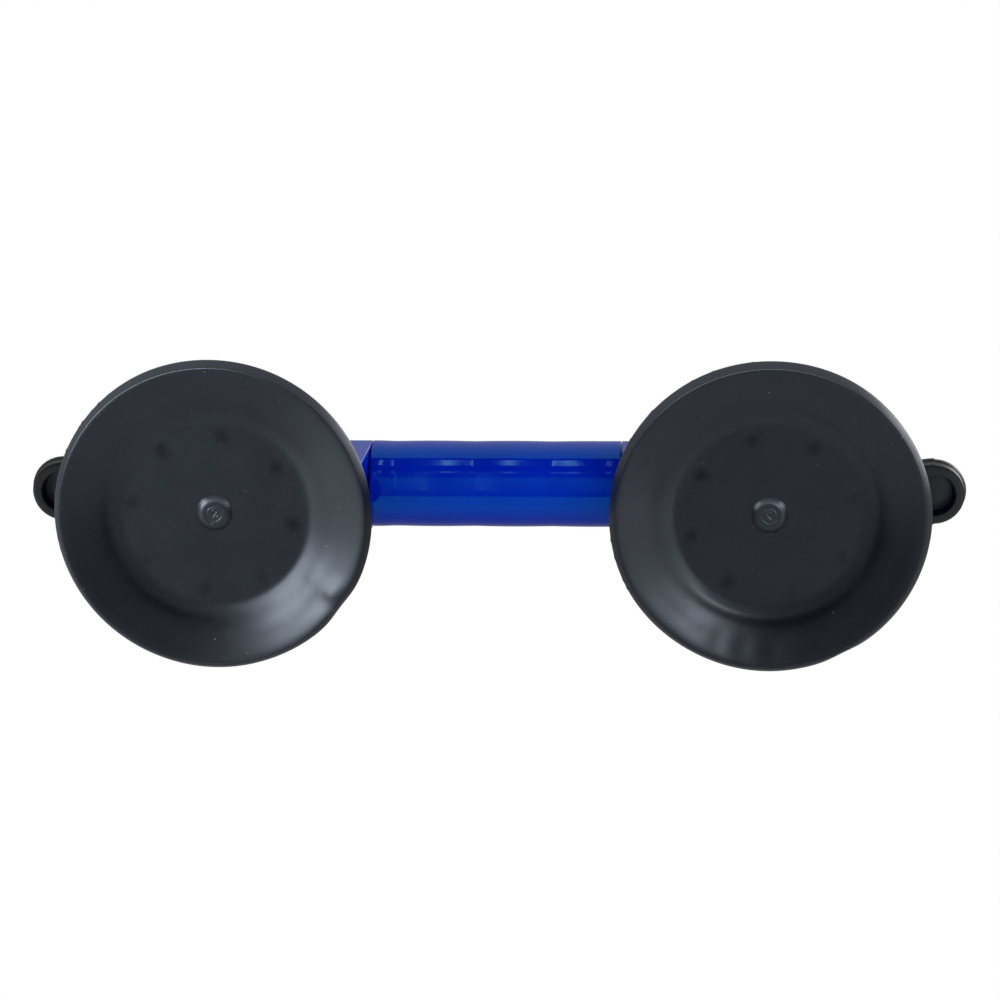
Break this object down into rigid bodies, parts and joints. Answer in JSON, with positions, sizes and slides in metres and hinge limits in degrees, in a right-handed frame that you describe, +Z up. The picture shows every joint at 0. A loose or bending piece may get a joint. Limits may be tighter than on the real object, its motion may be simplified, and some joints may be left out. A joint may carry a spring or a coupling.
{
  "type": "twin suction cup lifter",
  "caption": "Twin suction lifter for glass and panels: a round bar grip between two heads, each with a rubber cup, a pull stem and a fold-down cam lever.",
  "frame": {"origin": "midway between the two pads, on the plane that their sealing rings rest on", "axes": "+Z up, away from the glass; +X along the grip towards the right head; +Y across the grip"},
  "size_m": [0.359, 0.12, 0.0679],
  "materials": {
    "blue_plastic": "high gloss moulded",
    "black_plastic": "satin moulded",
    "pad_rubber": "satin moulded",
    "zinc_steel": "zinc plated",
    "bright_steel": "bright plated",
    "nylon": "natural"
  },
  "bodies": {
    "lifter_frame": {"grip_bar": "blue_plastic", "left_head_housing": "blue_plastic", "right_head_housing": "blue_plastic", "left_guide_bush": "nylon", "right_guide_bush": "nylon", "left_wear_plate": "bright_steel", "right_wear_plate": "bright_steel", "left_rubber_pad": "pad_rubber", "right_rubber_pad": "pad_rubber", "left_grip_screw": "zinc_steel", "right_grip_screw": "zinc_steel"},
    "left_pull": {"left_backing_plate": "zinc_steel", "left_pull_stem": "zinc_steel", "left_hinge_pin": "bright_steel", "left_pin_clip": "bright_steel"},
    "right_pull": {"right_backing_plate": "zinc_steel", "right_pull_stem": "zinc_steel", "right_hinge_pin": "bright_steel", "right_pin_clip": "bright_steel"},
    "left_lever_arm": {"left_lever": "black_plastic"},
    "right_lever_arm": {"right_lever": "black_plastic"}
  },
  "joints": [
    {"name": "left_pad_pull", "type": "slide", "parent": "lifter_frame", "child": "left_pull", "axis": [0, 0, 1], "range_m": [-0.004, 0], "deforming": ["left_rubber_pad"]},
    {"name": "right_pad_pull", "type": "slide", "parent": "lifter_frame", "child": "right_pull", "axis": [0, 0, 1], "range_m": [-0.004, 0], "deforming": ["right_rubber_pad"]},
    {"name": "left_lever_hinge", "type": "hinge", "parent": "left_pull", "child": "left_lever_arm", "pos_m": [-0.104, 0, 0.0486], "axis": [0, 1, 0], "range_deg": [0, 90]},
    {"name": "right_lever_hinge", "type": "hinge", "parent": "right_pull", "child": "right_lever_arm", "pos_m": [0.104, 0, 0.0486], "axis": [0, -1, 0], "range_deg": [0, 90]}
  ],
  "couplings": [
    {"joint": "left_pad_pull", "follows": "left_lever_hinge", "m_per_rad": -0.002546},
    {"joint": "right_pad_pull", "follows": "right_lever_hinge", "m_per_rad": -0.002546}
  ]
}
